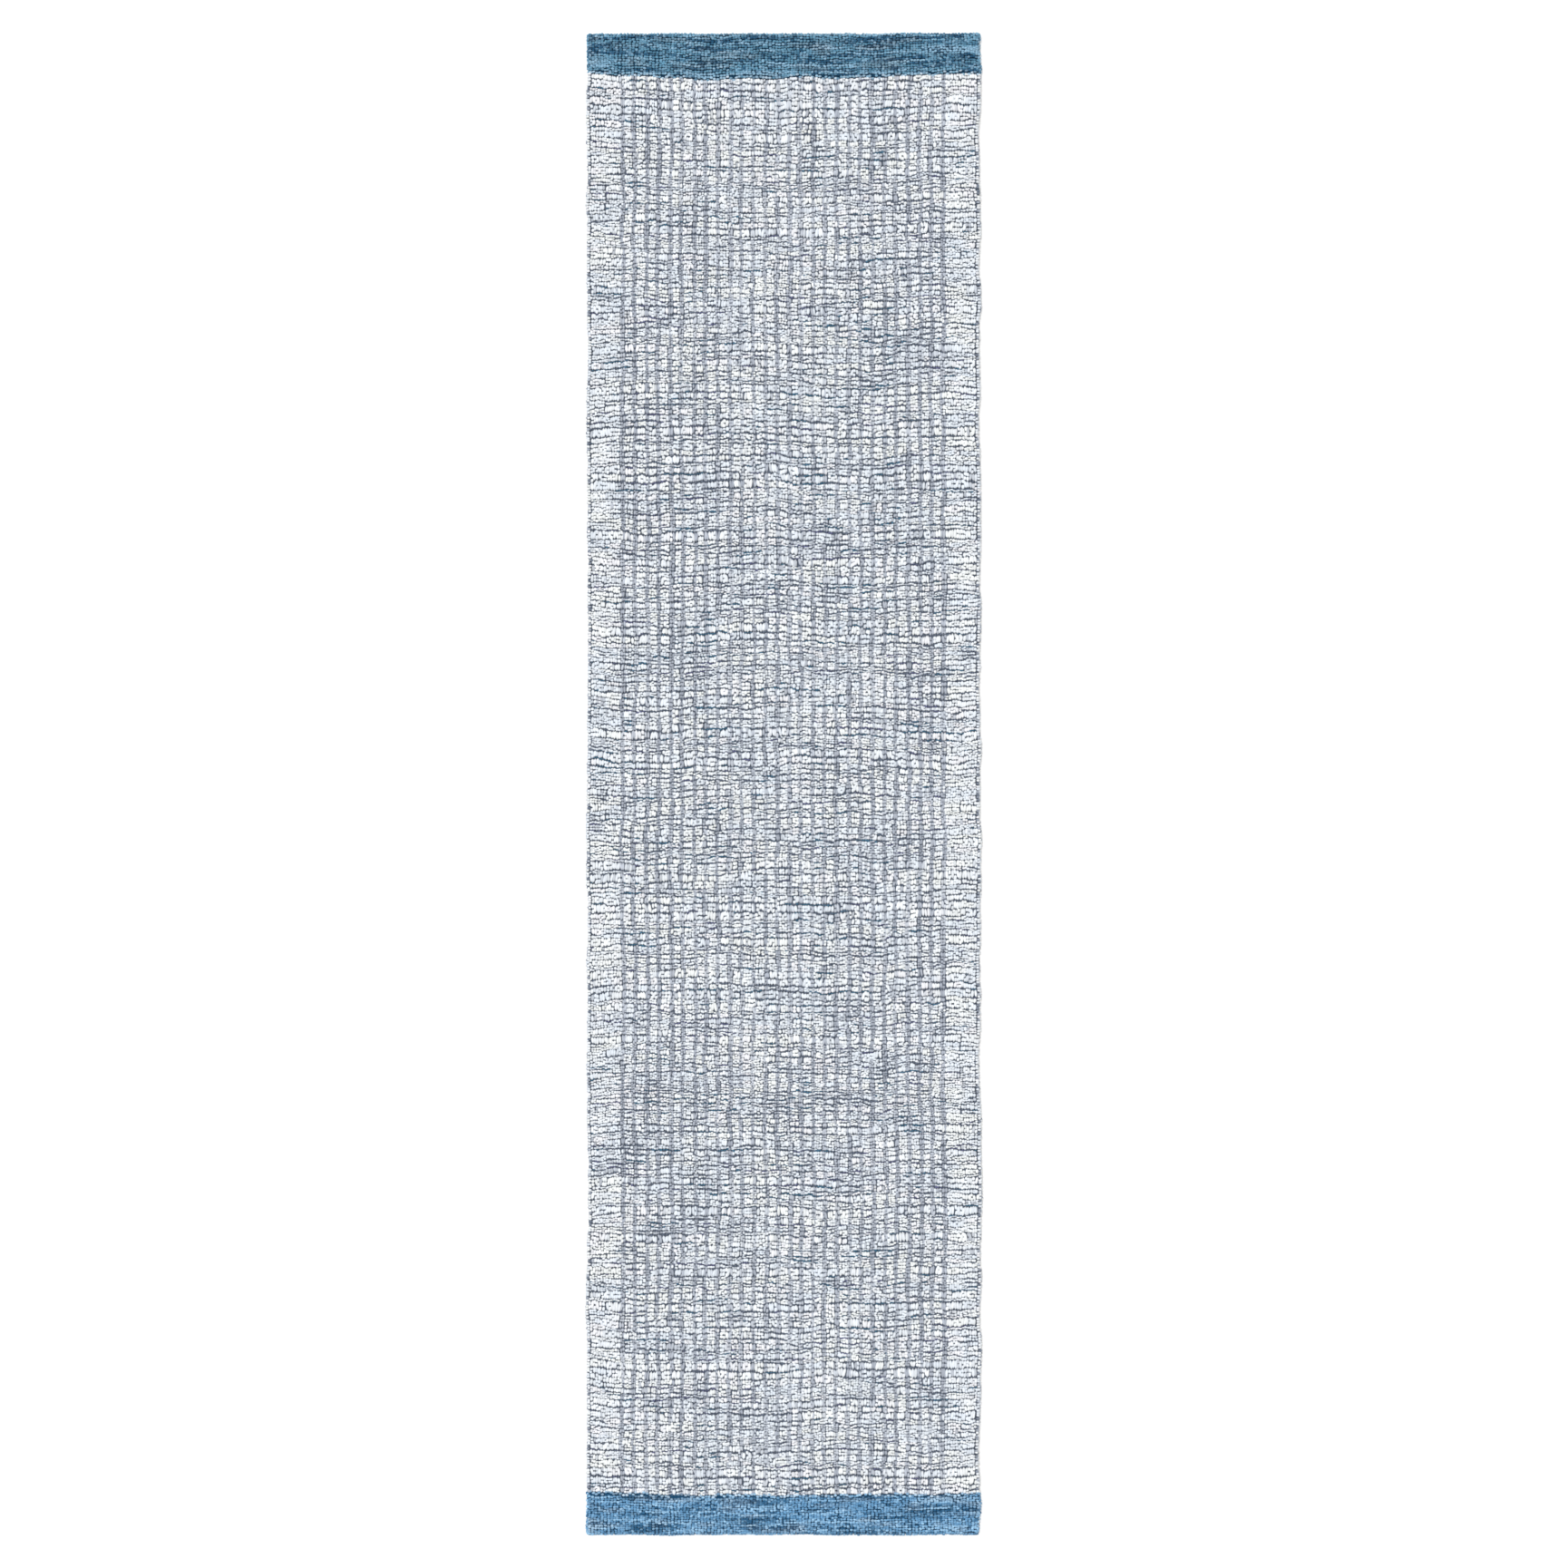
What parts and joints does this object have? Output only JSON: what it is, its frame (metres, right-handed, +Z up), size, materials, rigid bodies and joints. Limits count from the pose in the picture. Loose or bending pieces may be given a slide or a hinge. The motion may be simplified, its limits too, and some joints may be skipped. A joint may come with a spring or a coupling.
{
  "type": "runner rug",
  "caption": "Long, narrow loop-pile wool runner rug with a heathered ivory ground, fine lengthwise slate stripes, plain side margins and blue end bands on a cloth backing.",
  "frame": {"origin": "middle of the underside, on the floor plane", "axes": "+X across the width, +Y along the length towards the far end band, +Z up out of the pile; the sewn label is under the -X, -Y corner"},
  "size_m": [0.686, 2.606, 0.0136],
  "materials": {
    "ivory_wool": "matte wool loops",
    "slate_wool": "matte wool loops",
    "blue_wool": "matte wool loops",
    "backing_cotton": "plain woven cotton",
    "tape_cotton": "twill woven cotton tape",
    "canvas_cotton": "coarse woven cotton canvas",
    "latex_rubber": "matte dried latex",
    "label_satin": "smooth woven satin"
  },
  "bodies": {
    "root": {"binding_tape_far": "tape_cotton", "binding_tape_left": "tape_cotton", "binding_tape_near": "tape_cotton", "binding_tape_right": "tape_cotton", "canvas_backing": "canvas_cotton", "edge_row_left": "ivory_wool", "edge_row_right": "ivory_wool", "end_band_far": "blue_wool", "end_band_near": "blue_wool", "ground_pile": "ivory_wool", "latex_coat": "latex_rubber", "primary_backing": "backing_cotton", "sewn_label": "label_satin", "slate_stripe_01": "slate_wool", "slate_stripe_02": "slate_wool", "slate_stripe_03": "slate_wool", "slate_stripe_04": "slate_wool", "slate_stripe_05": "slate_wool", "slate_stripe_06": "slate_wool", "slate_stripe_07": "slate_wool", "slate_stripe_08": "slate_wool", "slate_stripe_09": "slate_wool", "slate_stripe_10": "slate_wool", "slate_stripe_11": "slate_wool", "slate_stripe_12": "slate_wool", "slate_stripe_13": "slate_wool", "slate_stripe_14": "slate_wool", "slate_stripe_15": "slate_wool", "slate_stripe_16": "slate_wool", "slate_stripe_17": "slate_wool", "slate_stripe_18": "slate_wool", "slate_stripe_19": "slate_wool", "slate_stripe_20": "slate_wool", "slate_stripe_21": "slate_wool", "slate_stripe_22": "slate_wool", "slate_stripe_23": "slate_wool", "slate_stripe_24": "slate_wool", "slate_stripe_25": "slate_wool", "slate_stripe_26": "slate_wool", "slate_stripe_27": "slate_wool", "slate_stripe_28": "slate_wool"}
  },
  "joints": []
}
